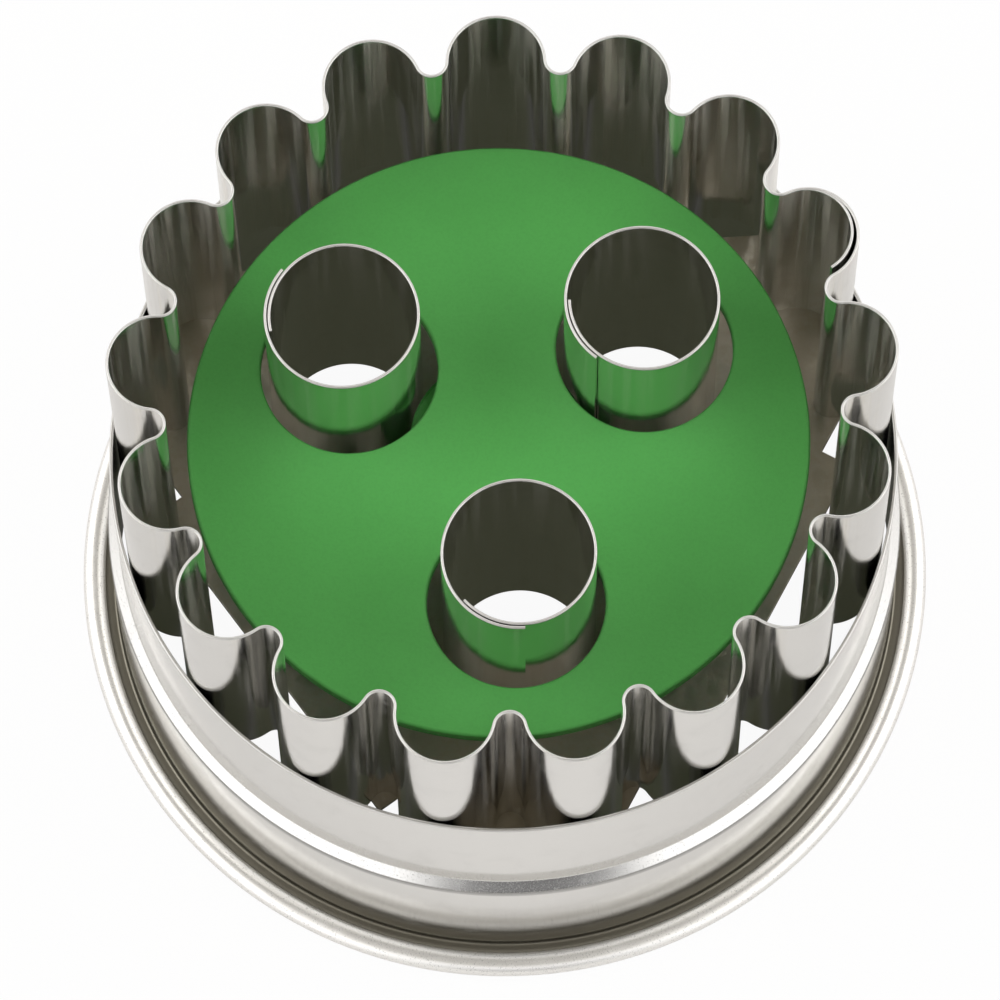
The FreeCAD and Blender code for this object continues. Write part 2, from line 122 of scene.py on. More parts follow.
class StripSizes(bpy.types.PropertyGroup):
    """Sizes of the fluted cutting strip."""

    sheet: length("Sheet", 0.0002, "Thickness of the strip")
    flutes: bpy.props.IntProperty(name="Flutes", description="Number of flutes", default=17, min=3)
    crest: length("Crest radius", 0.0251, "Outermost surface of a flute")
    valley: length("Valley radius", 0.0213, "Innermost surface between two flutes")
    bend: length("Valley bend", 0.001, "Middle of the sheet in the tight bend")
    foot: length("Foot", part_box("fluted_cutter")[0].z, "Level on which the strip stands")
    edge: length("Cutting edge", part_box("fluted_cutter")[1].z, "Level of the cutting edge")
    lap_gap: length("Lap gap", 0.00006, "Air between the lapped ends")
    lap_end: angle("Outer end", 80.0, "Outer free end, from the lapped flute's own axis")
    lap_tail: angle("Inner end", 86.0, "Inner free end, from the lapped flute's own axis")
    lap_turn: angle("Lap direction", 26.9, "Where the lapped flute points")


class TubeSizes(bpy.types.PropertyGroup):
    """Sizes of the three rolled eye tubes."""

    sheet: length("Sheet", 0.0002, "Thickness of the rolled strip")
    radius: length("Radius", 0.00495, "Outside of a tube")
    foot: length("Foot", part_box("eye_tube_front")[0].z, "Lower end of a tube")
    edge: length("Cutting edge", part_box("eye_tube_front")[1].z, "Level of the cutting edge")
    lap_gap: length("Lap gap", 0.00006, "Air between the lapped ends")
    lap_half: angle("Half lap", 26.0, "Half of the angle over which the ends lap")


class PlateSizes(bpy.types.PropertyGroup):
    """Sizes of the base plate."""

    level: length("Level", 0.0156, "Underside of the plate")
    sheet: length("Sheet", 0.0004, "Thickness of the plate")
    corner: length("Corner radius", 0.02518, "From the middle to the rounded corners")
    side: length("Side", 0.01915, "From the middle to each straight side")
    notch: length("Notch", 0.017, "From the middle to the notched ends of each side")
    notch_start: length("Notch start", 0.0125, "From a side's middle to its notch")
    turn: angle("Turn", 33.5, "Direction of the first corner")
    lean: angle("Lean", 2.0, "By which the two front sides turn towards the front")
    bore: length("Pin bore", 0.0013, "Radius of the hole for the pin")
    collar: length("Collar wall", 0.0004, "Wall of the drawn collar")
    collar_tall: length("Collar height", 0.0015, "Height of the drawn collar")
    tab_drop: length("Tab", 0.0022, "Length of the welding tabs below the plate")
    tab_half: angle("Half tab", 9.0, "Half of the angle of a welding tab")


class PusherSizes(bpy.types.PropertyGroup):
    """Sizes of the green push-out plate, its guide and its holes."""

    guide: length("Guide", -0.0003, "Place of the pin and the hub, across from the middle")
    radius: length("Radius", 0.02, "Outside of the disc")
    under: length("Underside", 0.02665, "Level of the disc's underside")
    thick: length("Thickness", 0.0011, "Thickness of the disc")
    edge: length("Edge", 0.00022, "Rounding of the disc's edges")
    hole: length("Hole radius", 0.0057, "Radius of the clearance holes")
    hole_circle: length("Hole circle", 0.011, "From the middle to each hole")
    hole_turn: angle("Hole turn", 33.6, "Direction of the first hole")
    hub: length("Hub radius", 0.0045, "Outside of the hub")
    root: length("Root", 0.0012, "Fillet between the hub and the disc")
    foot: length("Foot", 0.016, "Level on which the hub stands")
    recess: length("Recess radius", 0.002, "Recess over the plate's collar")
    recess_deep: length("Recess depth", 0.0018, "Depth of the recess")
    bore: length("Bore radius", 0.00125, "Bore that grips the pin")
    bore_deep: length("Bore depth", 0.0083, "Depth of the bore")


class PinSizes(bpy.types.PropertyGroup):
    """Sizes of the headed push pin."""

    radius: length("Radius", 0.00125, "Shank of the pin")
    tip: length("Tip", 0.024, "Upper end of the pin, inside the hub")
    head: length("Head radius", 0.0027, "Radius of the head")
    head_top: length("Head top", 0.006, "Upper side of the head")
    head_thick: length("Head thickness", 0.002, "Whole thickness of the head")
    dome: length("Dome", 0.0007, "Height of the rounded part of the head")


class SpringSizes(bpy.types.PropertyGroup):
    """Sizes of the conical return spring."""

    wire: length("Wire radius", 0.0002, "Radius of the wire")
    turns: bpy.props.FloatProperty(name="Turns", description="Number of turns", default=5.0, min=1.0)
    wide: length("Wide end", 0.0041, "Wire centre at the plate")
    narrow: length("Narrow end", 0.002, "Wire centre at the pin's head")
    low: length("Low end", 0.006, "Seat on the pin's head")
    high: length("High end", 0.0156, "Seat under the base plate")


class Finishes(bpy.types.PropertyGroup):
    """Colours and gloss of the surfaces."""

    ring: colour("Ring metal", (0.70, 0.69, 0.668), "Bright rolled sheet of the hand ring")
    cutter: colour("Cutter metal", (0.70, 0.69, 0.668), "Bright sheet of the fluted strip")
    tube: colour("Tube metal", (0.68, 0.665, 0.64), "Bright sheet of the eye tubes")
    # Tinned sheet; part of its light, warm colour is painted light, standing in for the light that reaches
    # the plate in the narrow gaps round the disc.
    plate: colour("Plate metal", (0.90, 0.86, 0.76), "Dull tinned sheet of the base plate")
    green: colour("Green plastic", (0.074, 0.350, 0.071), "Moulded push-out plate")
    pin: colour("Pin steel", (0.62, 0.62, 0.62), "Turned steel of the pin")
    wire: colour("Spring wire", (0.50, 0.50, 0.51), "Bright spring wire")
    gloss: share("Ring roughness", 0.12, "Roughness of the hand ring's flat sheet")
    strip_gloss: share("Strip roughness", 0.12, "Roughness of the fluted strip and the tubes")
    plate_gloss: share("Plate roughness", 0.36, "Roughness of the base plate")
    formed: share("Formed roughness", 0.24, "Roughness of the drawn shoulder")
    rolled: share("Rolled roughness", 0.38, "Roughness of the rolled bead")
    sheared: share("Edge roughness", 0.46, "Roughness of the sheared upper edges")
    # Painted shade: the dark brown colour laid in the groove at the skirt's foot.
    groove: colour("Groove", (0.15, 0.137, 0.10), "Dull metal in the groove inside the bead")
    # Painted reflection: colour and strengths of the beige upright streaks that stand in for light mirrored
    # in the bent sheets.
    streak_reflection: colour("Haze", (0.80, 0.72, 0.56), "Dull upright streaks on the bent sheets")
    strip_streak_reflection: share("Strip haze", 0.30, "Strength of the streaks on the fluted strip")
    tube_streak_reflection: share("Tube haze", 0.06, "Strength of the streaks on the eye tubes")
    plate_streak_reflection: share("Plate haze", 0.45, "Strength of the streaks on the base plate")


class StudioSizes(bpy.types.PropertyGroup):
    """Floor, tent of light and camera."""

    floor: length("Floor", 6.0, "Side of the square floor")
    floor_colour: colour("Floor colour", (0.70, 0.692, 0.685), "Pale table")
    shade: colour("Shade", (0.66, 0.74, 0.46), "Table under the cutter, as its sheet mirrors it")
    front: angle("Front", 4.0, "Turn of the tent's dark front")
    lamp_out: length("Lamp distance", 0.72, "From the middle to each lamp, to the left and right")
    lamp_high: length("Lamp height", 0.80, "Lamps above the table")
    lamp_wide: length("Lamp width", 0.70, "Width of each lamp")
    lamp_tall: length("Lamp depth", 0.55, "Other side of each lamp")
    lamp_power: bpy.props.FloatProperty(
        name="Lamp power", description="Power of each lamp in watts", default=3.4, min=0.0, unit="POWER")
    lens: bpy.props.FloatProperty(name="Lens", description="Focal length in millimetres", default=288.0)
    aim_x: length("Aim X", -0.000261, "Point that the camera looks at")
    aim_z: length("Aim Z", 0.015335, "Height of the point that the camera looks at")
    away: length("Distance", 0.5248, "From the camera to that point")
    elevation: angle("Elevation", 71.5, "Camera above the horizon")
    roll: angle("Roll", -0.7326, "Turn of the picture")


class CutterSettings(bpy.types.PropertyGroup):
    """Everything that the operators read."""

    ring: bpy.props.PointerProperty(type=RingSizes)
    strip: bpy.props.PointerProperty(type=StripSizes)
    tube: bpy.props.PointerProperty(type=TubeSizes)
    plate: bpy.props.PointerProperty(type=PlateSizes)
    pusher: bpy.props.PointerProperty(type=PusherSizes)
    pin: bpy.props.PointerProperty(type=PinSizes)
    spring: bpy.props.PointerProperty(type=SpringSizes)
    finish: bpy.props.PointerProperty(type=Finishes)
    studio: bpy.props.PointerProperty(type=StudioSizes)


class Wire:
    """One output socket; sums and products on it add Math nodes."""

    def __init__(self, tree, socket):
        self.tree = tree
        self.socket = socket

    def calculate(self, operation, *values):
        node = self.tree.nodes.new("ShaderNodeMath")
        node.operation = operation
        for entry, value in zip(node.inputs, values):
            plug(self.tree, entry, value)
        return Wire(self.tree, node.outputs[0])

    def __add__(self, other):
        return self.calculate("ADD", self, other)

    __radd__ = __add__

    def __sub__(self, other):
        return self.calculate("SUBTRACT", self, other)

    def __rsub__(self, other):
        return self.calculate("SUBTRACT", other, self)

    def __mul__(self, other):
        return self.calculate("MULTIPLY", self, other)

    __rmul__ = __mul__

    def __truediv__(self, other):
        return self.calculate("DIVIDE", self, other)

    def __rtruediv__(self, other):
        return self.calculate("DIVIDE", other, self)

    def larger(self, other):
        return self.calculate("MAXIMUM", self, other)

    def smaller(self, other):
        return self.calculate("MINIMUM", self, other)

    def root(self):
        return self.calculate("SQRT", self)


def plug(tree, entry, value):
    """Sets a node's input to a number or colour, or links a wire to it."""
    if isinstance(value, Wire):
        tree.links.new(value.socket, entry)
    elif isinstance(value, tuple) and entry.type == "RGBA" and len(value) == 3:
        entry.default_value = (*value, 1.0)
    else:
        entry.default_value = value


class Shading:
    """Node tree of a material, a lamp or the world."""

    def __init__(self, owner):
        owner.use_nodes = True
        self.tree = owner.node_tree
        self.tree.nodes.clear()

    def add(self, kind, settings=None, sockets=None, result=0):
        """Adds a node: its settings first, then its sockets; gives the chosen output."""
        node = self.tree.nodes.new(kind)
        for name, value in (settings or {}).items():
            if name == "stops":
                self.set_stops(node.color_ramp, value)
            else:
                setattr(node, name, value)
        for name, value in (sockets or {}).items():
            plug(self.tree, node.inputs[name], value)
        return Wire(self.tree, node.outputs[result]) if node.outputs else node

    def set_stops(self, ramp, stops):
        """Gives a colour ramp its stops, each a position and a colour."""
        while len(ramp.elements) > 1:
            ramp.elements.remove(ramp.elements[-1])
        for number, (position, tone) in enumerate(stops):
            stop = ramp.elements[0] if number == 0 else ramp.elements.new(position)
            stop.position = position
            stop.color = (*tone, 1.0)

    def place(self):
        """Position on the object, in metres."""
        return self.add("ShaderNodeTexCoord", result="Object")

    def split(self, vector):
        """The three parts of a vector."""
        kind = "ShaderNodeSeparateXYZ"
        return [self.add(kind, sockets={"Vector": vector}, result=axis) for axis in "XYZ"]

    def stretch(self, where, scale):
        """Position scaled by a different factor along each axis."""
        return self.add("ShaderNodeVectorMath", {"operation": "MULTIPLY"}, {0: where, 1: scale})

    def noise(self, where, scale, detail=2.0, rough=0.5, twist=0.0):
        """Soft random pattern from 0 to 1, with its scale in grains per metre."""
        return self.add(
            "ShaderNodeTexNoise",
            {"noise_dimensions": "3D"},
            {"Vector": where, "Scale": scale, "Detail": detail, "Roughness": rough, "Distortion": twist},
        )

    def fade(self, value, low, high, first=0.0, last=1.0):
        """Smooth step from first to last as the value goes from low to high."""
        return self.add(
            "ShaderNodeMapRange",
            {"interpolation_type": "SMOOTHSTEP"},
            {"Value": value, "From Min": low, "From Max": high, "To Min": first, "To Max": last},
        )

    def within(self, value, start, low, high, end):
        """Mask that is 1 from low to high, and 0 before start and beyond end."""
        return self.fade(value, start, low) * self.fade(value, high, end, 1.0, 0.0)

    def blend(self, factor, first, second):
        """Mixes two colours."""
        return self.add(
            "ShaderNodeMix", {"data_type": "RGBA"}, {0: factor, 6: first, 7: second}, result=2)

    def bump(self, height, deep):
        """Normal of a relief whose height of 1 stands for this depth in metres."""
        return self.add("ShaderNodeBump", sockets={"Height": height, "Distance": deep, "Strength": 1.0})

    def end(self, shader, kind="ShaderNodeOutputMaterial"):
        """Joins the finished shader to the output."""
        self.add(kind, sockets={"Surface": shader})


def tint(base, factor):
    """A colour made lighter or darker."""
    return tuple(min(1.0, part * factor) for part in base)


def sheet_metal(name, base, gloss, along, rim=None, formed=None, streak_reflection=0.0, no_streak_radius=None):
    """Bright rolled sheet: fine marks along the roll, faint waves and stains.

    along is how the marks run: 'round' for a turned piece, 'up' for a strip that was bent from flat.
    rim is the level of a sheared upper edge. formed holds what was pressed into a turned piece: the
    shoulder's lower and upper level, the skirt's radius, the upper level of the groove at its foot, and
    the radius outside which the sheet was rolled into a bead; the groove and a thin line in the crease
    under the shoulder get painted shade, and the bead painted sheen. The next argument is the strength
    of upright beige streaks of painted reflection, which stay off the side that faces outwards beyond
    the radius given last.
    """
    finish = bpy.context.scene.linzer.finish
    material = bpy.data.materials.new(name)
    shading = Shading(material)
    where = shading.place()
    across, depth, height = shading.split(where)
    radius = (across * across + depth * depth).root()
    marks, marks_deep = SHEET_MARKS[along]
    lines = shading.noise(shading.stretch(where, marks), 1.0, detail=3.0, rough=0.6)
    waves = shading.noise(where, 160.0, detail=1.0, rough=0.4)
    grain = shading.noise(where, 9000.0, rough=0.6)
    stains = shading.noise(where, 420.0, detail=4.0, rough=0.65, twist=0.4)
    dull = shading.fade(stains, 0.5, 0.72)
    rough = gloss + (lines - 0.5) * 0.05 + dull * 0.06
    relief = waves + lines * marks_deep + grain * 0.004
    tone = shading.blend(dull * 0.35, base, tint(base, 0.88))
    metallic = 1.0
    if along == "up":
        relief = relief + shading.noise(shading.stretch(where, FOLDS), 1.0) * 2.6
    if formed is not None:
        low, high, skirt, groove_top, bead_start = formed
        soft = 0.00012
        # Painted shade: the groove at the skirt's foot gets a dark brown colour and a duller gloss.
        groove_shade = shading.within(
            radius, skirt - soft / 2, skirt - soft / 6, bead_start + 0.0001, bead_start + 0.0003)
        groove_shade = groove_shade * shading.fade(height, groove_top, groove_top + 0.00015, 1.0, 0.0)
        shoulder = shading.within(height, low - soft, low, high, high + soft)
        # Painted shade: a thin dark line along the crease under the shoulder.
        crease = shading.within(height, low - 0.0007, low - 0.0003, low, low + 0.0001)
        bead = shading.fade(radius, bead_start - 0.0003, bead_start)
        specks = shading.fade(grain, 0.58, 0.68) * shoulder.larger(bead)
        rough = rough + shoulder * (finish.formed - gloss) + bead * (finish.rolled - gloss)
        rough = rough + specks * 0.15 + groove_shade * 0.30
        relief = relief + shoulder.larger(bead) * grain * 0.05
        # Painted sheen: the bead's colour is made lighter, standing in for the pale light that it mirrors.
        tone = shading.blend(bead, tone, tint(base, 1.16))
        # Specks, and the painted shade line in the crease, darken the sheet.
        tone = shading.blend((specks * 0.45).larger(crease * 0.85), tone, tint(base, 0.35))
        # Painted shade in the groove.
        tone = shading.blend(groove_shade * 0.9, tone, tuple(finish.groove))
        # Painted sheen: the bead is made partly matt, so its lighter colour shows.
        metallic = 1.0 - bead * 0.25
    if streak_reflection > 0.0:
        # Painted reflection: upright beige streaks, matt rather than metallic, stand in for light mirrored
        # on the sheet.
        streaks = shading.noise(shading.stretch(where, STREAKS), 1.0, detail=3.0, rough=0.6)
        streaks = shading.fade(streaks, 0.42, 0.70) * streak_reflection
        # Outward faces near the crest get none of the painted reflection.
        if no_streak_radius is not None:
            facing = shading.add("ShaderNodeNewGeometry", result="Normal")
            out = shading.add("ShaderNodeCombineXYZ", sockets={"X": across, "Y": depth, "Z": 0.0})
            turned = shading.add(
                "ShaderNodeVectorMath", {"operation": "DOT_PRODUCT"}, {0: facing, 1: out}, "Value")
            outside = shading.fade(turned, -0.002, 0.002) * shading.fade(radius, no_streak_radius - 0.0012, no_streak_radius)
            streaks = streaks * (1.0 - outside)
        metallic = 1.0 - streaks
        tone = shading.blend(streaks, tone, tuple(finish.streak_reflection))
    if rim is not None:
        sheared = shading.fade(height, rim - 0.00013, rim - 0.00007)
        rough = rough + sheared * (finish.sheared - gloss)
        tone = shading.blend(sheared, tone, tint(base, 0.80))
    skin = shading.add(
        "ShaderNodeBsdfPrincipled",
        sockets={
            "Base Color": tone,
            "Metallic": metallic,
            "Roughness": rough,
            "Normal": shading.bump(relief, 0.00002),
        },
    )
    shading.end(skin)
    return material


def moulded_green(name, base):
    """Satin moulded plastic with a fine grain and a faint cloud in its colour."""
    material = bpy.data.materials.new(name)
    shading = Shading(material)
    where = shading.place()
    cloud = shading.noise(where, 130.0, detail=3.0)
    grain = shading.noise(where, 5200.0, rough=0.6)
    pits = shading.noise(where, 1800.0)
    tone = shading.blend(shading.fade(cloud, 0.3, 0.7), tint(base, 0.98), tint(base, 1.03))
    tone = shading.blend(shading.fade(grain, 0.35, 0.75) * 0.30, tone, tint(base, 0.82))
    rough = 0.42 + (grain - 0.5) * 0.16 + (cloud - 0.5) * 0.03
    skin = shading.add(
        "ShaderNodeBsdfPrincipled",
        sockets={
            "Base Color": tone,
            "Roughness": rough,
            "IOR": 1.49,
            "Specular IOR Level": 0.45,
            "Normal": shading.bump(grain * 0.5 + pits, 0.000012),
        },
    )
    shading.end(skin)
    return material


def turned_steel(name, base, gloss, pitch):
    """Steel with fine turning or drawing marks round the axis, their pitch in marks per metre."""
    material = bpy.data.materials.new(name)
    shading = Shading(material)
    where = shading.place()
    across, depth, height = shading.split(where)
    radius = (across * across + depth * depth).root()
    rings = shading.add(
        "ShaderNodeCombineXYZ", sockets={"X": radius * pitch, "Y": height * pitch, "Z": 0.0})
    lines = shading.noise(rings, 1.0, rough=0.6)
    grain = shading.noise(where, 7000.0, rough=0.6)
    tone = shading.blend(shading.fade(grain, 0.5, 0.75) * 0.35, base, tint(base, 0.7))
    skin = shading.add(
        "ShaderNodeBsdfPrincipled",
        sockets={
            "Base Color": tone,
            "Metallic": 1.0,
            "Roughness": gloss + (lines - 0.5) * 0.2,
            "Normal": shading.bump(lines + grain * 0.3, 0.000006),
        },
    )
    shading.end(skin)
    return material


def spread(first, last, count):
    """Even steps from the first to the last value, both included."""
    return [first + (last - first) * step / count for step in range(count + 1)]


def arc(middle, radius, first, last, count):
    """Points on an arc of (x, y) from the first to the last angle, in radians, both ends included."""
    return [polar(radius, turn, middle) for turn in spread(first, last, count)]


def polar(radius, turn, middle=(0.0, 0.0)):
    """Point at a radius and a direction from the middle."""
    return middle[0] + radius * math.cos(turn), middle[1] + radius * math.sin(turn)


def circle(middle, radius, count):
    """Points on a whole circle, the first not repeated at its end."""
    return arc(middle, radius, 0.0, 2 * math.pi, count)[:-1]


def rounded(corners, radii, count=4):
    """Closed outline with each corner replaced by an arc of its own radius."""
    outline = []
    for number, corner in enumerate(corners):
        radius = radii[number]
        if radius <= 0:
            outline.append(tuple(corner))
            continue
        here = Vector(corner)
        back = Vector(corners[number - 1]) - here
        ahead = Vector(corners[(number + 1) % len(corners)]) - here
        half = back.angle(ahead) / 2
        run = min(radius / math.tan(half), back.length * 0.49, ahead.length * 0.49)
        radius = run * math.tan(half)
        bisector = (back.normalized() + ahead.normalized()).normalized()
        middle = here + bisector * (radius / math.sin(half))
        start = here + back.normalized() * run - middle
        side = 1 if back.x * ahead.y - back.y * ahead.x < 0 else -1
        for turn in spread(0.0, side * (math.pi - 2 * half), count):
            c, s = math.cos(turn), math.sin(turn)
            outline.append(tuple(middle + Vector((start.x * c - start.y * s, start.x * s + start.y * c))))
    return outline


def lathe(bm, profile, steps, closed=True, across=0.0):
    """Turns a profile of (radius, height) about an upright axis; points on the axis become single poles."""
    rows = []
    for radius, height in profile:
        if radius < 1e-7:
            rows.append([bm.verts.new((across, 0, height))])
            continue
        rows.append([
            bm.verts.new((across + radius * math.cos(turn), radius * math.sin(turn), height))
            for turn in spread(0.0, 2 * math.pi, steps)[:-1]
        ])
    pairs = list(zip(rows, rows[1:])) + ([(rows[-1], rows[0])] if closed else [])
    for low, high in pairs:
        for step in range(steps):
            after = (step + 1) % steps
            loop = [
                low[step % len(low)], low[after % len(low)],
                high[after % len(high)], high[step % len(high)],
            ]
            loop = list(dict.fromkeys(loop))
            if len(loop) > 2:
                bm.faces.new(loop)


def join_rows(bm, rows):
    """Skins a row of closed sections, and closes both ends."""
    for first, second in zip(rows, rows[1:]):
        for number in range(len(first)):
            after = (number + 1) % len(first)
            bm.faces.new((first[number], first[after], second[after], second[number]))
    bm.faces.new(rows[0])
    bm.faces.new(list(reversed(rows[-1])))


def sweep(bm, path, section):
    """Carries a closed section of (offset, height) along a path of (x, y, normal x, normal y)."""
    join_rows(bm, [
        [bm.verts.new((x + nx * offset, y + ny * offset, height)) for offset, height in section]
        for x, y, nx, ny in path
    ])


def coil(bm, line, radius, count):
    """Round wire along a line of 3D points, with closed ends."""
    rows = []
    for number, point in enumerate(line):
        ahead = (line[min(number + 1, len(line) - 1)] - line[max(number - 1, 0)]).normalized()
        outward = Vector((point.x, point.y, 0)).normalized()
        upward = ahead.cross(outward).normalized()
        outward = upward.cross(ahead)
        rows.append([
            bm.verts.new(point + outward * (radius * math.cos(turn)) + upward * (radius * math.sin(turn)))
            for turn in spread(0.0, 2 * math.pi, count)[:-1]
        ])
    join_rows(bm, rows)


def pressed_sheet(name, outline, holes, thickness, edge, level):
    """Flat sheet with holes and rounded edges; outlines are already inset by the edge's rounding."""
    flat = bpy.data.curves.new(name, "CURVE")
    flat.dimensions = "2D"
    flat.fill_mode = "BOTH"
    flat.extrude = thickness / 2 - edge
    flat.bevel_depth = edge
    flat.bevel_resolution = 4
    for loop in (outline, *holes):
        line = flat.splines.new("POLY")
        line.points.add(len(loop) - 1)
        for spot, (x, y) in zip(line.points, loop):
            spot.co = (x, y, 0.0, 1.0)
        line.use_cyclic_u = True
    shell = bpy.data.objects.new(name, flat)
    bpy.context.scene.collection.objects.link(shell)
    bpy.context.view_layer.update()
    made = bpy.data.meshes.new_from_object(shell.evaluated_get(bpy.context.evaluated_depsgraph_get()))
    bpy.data.objects.remove(shell)
    bpy.data.curves.remove(flat)
    made.transform(Matrix.Translation((0, 0, level + thickness / 2)))
    return made


def settle_normals(mesh):
    """Turns each corner's normal to the largest faces round it.

    A wall then looks straight up to its rounding, however narrow the rounding is.
    """
    sharp = [edge.use_edge_sharp for edge in mesh.edges]
    corners = [[] for _ in mesh.vertices]
    for face in mesh.polygons:
        weight = face.normal * face.area
        around = list(face.loop_indices)
        for number, corner in enumerate(around):
            loop = mesh.loops[corner]
            before = mesh.loops[around[number - 1]].edge_index
            corners[loop.vertex_index].append((corner, (before, loop.edge_index), weight))
    normals = [None] * len(mesh.loops)
    for waiting in corners:
        while waiting:
            joined = [waiting.pop()]
            for _, edges, _ in joined:
                soft = {edge for edge in edges if not sharp[edge]}
                joined += [other for other in waiting if soft & set(other[1])]
                waiting = [other for other in waiting if not soft & set(other[1])]
            normal = sum((weight for _, _, weight in joined), Vector()).normalized()
            for corner, _, _ in joined:
                normals[corner] = normal
    mesh.normals_split_custom_set(normals)


def finish_piece(name, bm, material, body, node, crease=34.0):
    """Turns the mesh into a piece that rides on its body and stands for its node."""
    bmesh.ops.remove_doubles(bm, verts=bm.verts, dist=1e-8)
    bmesh.ops.recalc_face_normals(bm, faces=bm.faces)
    mesh = bpy.data.meshes.new(name)
    bm.to_mesh(mesh)
    bm.free()
    if not mesh.polygons:
        raise RuntimeError(f"{name} has no faces")
    mesh.shade_smooth()
    mesh.set_sharp_from_angle(angle=math.radians(crease))
    settle_normals(mesh)
    mesh.materials.append(material)
    piece = bpy.data.objects.new(name, mesh)
    bpy.context.scene.collection.objects.link(piece)
    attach(piece, body)
    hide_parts(node)
    return piece


def rim_section(sheet, low, high):
    """Cross-section of an upright strip with softly rounded edges."""
    half = sheet / 2
    corners = [(-half, low), (half, low), (half, high), (-half, high)]
    return rounded(corners, [half * 0.5, half * 0.5, half * 0.95, half * 0.95])


class LINZER_OT_ring(bpy.types.Operator):
    """Makes the hand ring: neck, shoulder, skirt, flange and curled foot of one sheet"""

    bl_idname = "linzer.ring"
    bl_label = "Hand Ring"

    def execute(self, context):
        sizes = context.scene.linzer.ring
        finish = context.scene.linzer.finish
        wall, bead = sizes.sheet, sizes.bead
        skirt = sizes.neck + sizes.step
        bead_start = skirt + sizes.fillet + sizes.flat
        middle = (bead_start + bead, bead)
        hollow = bead - wall
        step_end = sizes.shoulder - sizes.step
        mitre = wall * math.tan(math.pi / 8)
        lip, outer_bend = wall * 0.4, sizes.bend + wall * 0.4
        fillet_middle = (skirt + sizes.fillet, bead + sizes.fillet)
        upper = rounded(
            [
                (sizes.neck - wall, sizes.tall),
                (sizes.neck, sizes.tall),
                (sizes.neck, sizes.shoulder),
                (skirt, step_end),
                (skirt, fillet_middle[1]),
                (skirt - wall, fillet_middle[1]),
                (skirt - wall, step_end - mitre),
                (sizes.neck - wall, sizes.shoulder - mitre),
            ],
            [lip, lip, sizes.bend, outer_bend, 0, 0, sizes.bend, outer_bend],
            count=6,
        )
        start = upper.index((skirt, fillet_middle[1]))
        outside, inside = upper[:start + 1], upper[start + 1:]
        quarter = math.pi / 2
        mouth = math.pi + math.asin(wall / hollow)
        foot = arc(fillet_middle, sizes.fillet, 2 * quarter, 3 * quarter, 10)[1:]
        foot += arc(middle, bead, 2 * quarter, -quarter, 40)
        foot += [(middle[0] - sizes.land, 0.0), (middle[0] - sizes.land, wall)]
        foot += arc(middle, hollow, -quarter, mouth, 30)
        foot += arc(fillet_middle, sizes.fillet + wall, 3 * quarter, 2 * quarter, 10)[:-1]
        bm = bmesh.new()
        lathe(bm, outside + foot + inside, steps=360)
        metal = sheet_metal(
            "ring_metal", tuple(finish.ring), finish.gloss, "round", rim=sizes.tall,
            formed=(step_end, sizes.shoulder, skirt, fillet_middle[1], bead_start))
        finish_piece("hand_ring", bm, metal, "cutter", "outer_ring")
        return {"FINISHED"}


class LINZER_OT_strip(bpy.types.Operator):
    """Makes the fluted cutting strip, whose two ends lap in one flute"""

    bl_idname = "linzer.strip"
    bl_label = "Fluted Strip"

    def execute(self, context):
        sizes = context.scene.linzer.strip
        finish = context.scene.linzer.finish
        half = sizes.sheet / 2
        pitch = 2 * math.pi / sizes.flutes
        valley = polar(sizes.valley + half + sizes.bend, pitch / 2)
        over = sizes.crest - half - valley[0]
        flute = (over ** 2 + valley[1] ** 2 - sizes.bend ** 2) / (2 * (sizes.bend + over))
        centre = Vector((sizes.crest - half - flute, 0.0))
        high = Vector(valley)
        join = math.atan2(high.y - centre.y, high.x - centre.x)
        path = []

        def add_arc(middle, radius, first, last, turn, outward, count):
            """Adds an arc, turned about the axis, to the path; outward is -1 in a valley."""
            c, s = math.cos(turn), math.sin(turn)
            middle = (middle[0] * c - middle[1] * s, middle[0] * s + middle[1] * c)
            for here in spread(first, last, count):
                nx, ny = math.cos(here + turn), math.sin(here + turn)
                spot = (middle[0] + radius * nx, middle[1] + radius * ny, outward * nx, outward * ny)
                if not path or math.hypot(spot[0] - path[-1][0], spot[1] - path[-1][1]) > 1e-7:
                    path.append(spot)

        base = sizes.lap_turn
        under = flute - sizes.sheet - sizes.lap_gap
        under_middle = high.lerp(centre, (under + sizes.bend) / (flute + sizes.bend))
        valley_first = join + math.pi
        valley_last = pitch + 2 * math.pi - valley_first
        add_arc(under_middle, under, -sizes.lap_tail, join, base, 1, 40)
        add_arc(valley, sizes.bend, valley_first, valley_last, base, -1, 18)
        for number in range(1, sizes.flutes):
            turn = base + number * pitch
            add_arc(centre, flute, -join, join, turn, 1, 44)
            add_arc(valley, sizes.bend, valley_first, valley_last, turn, -1, 18)
        add_arc(centre, flute, -join, sizes.lap_end, base + 2 * math.pi, 1, 40)
        bm = bmesh.new()
        sweep(bm, path, rim_section(sizes.sheet, sizes.foot, sizes.edge))
        # The upright streaks on the strip are painted reflection.
        metal = sheet_metal(
            "cutter_metal", tuple(finish.cutter), finish.strip_gloss, "up", rim=sizes.edge,
            streak_reflection=finish.strip_streak_reflection, no_streak_radius=sizes.crest - 0.0008)
        finish_piece("fluted_strip", bm, metal, "cutter", "fluted_cutter")
        return {"FINISHED"}


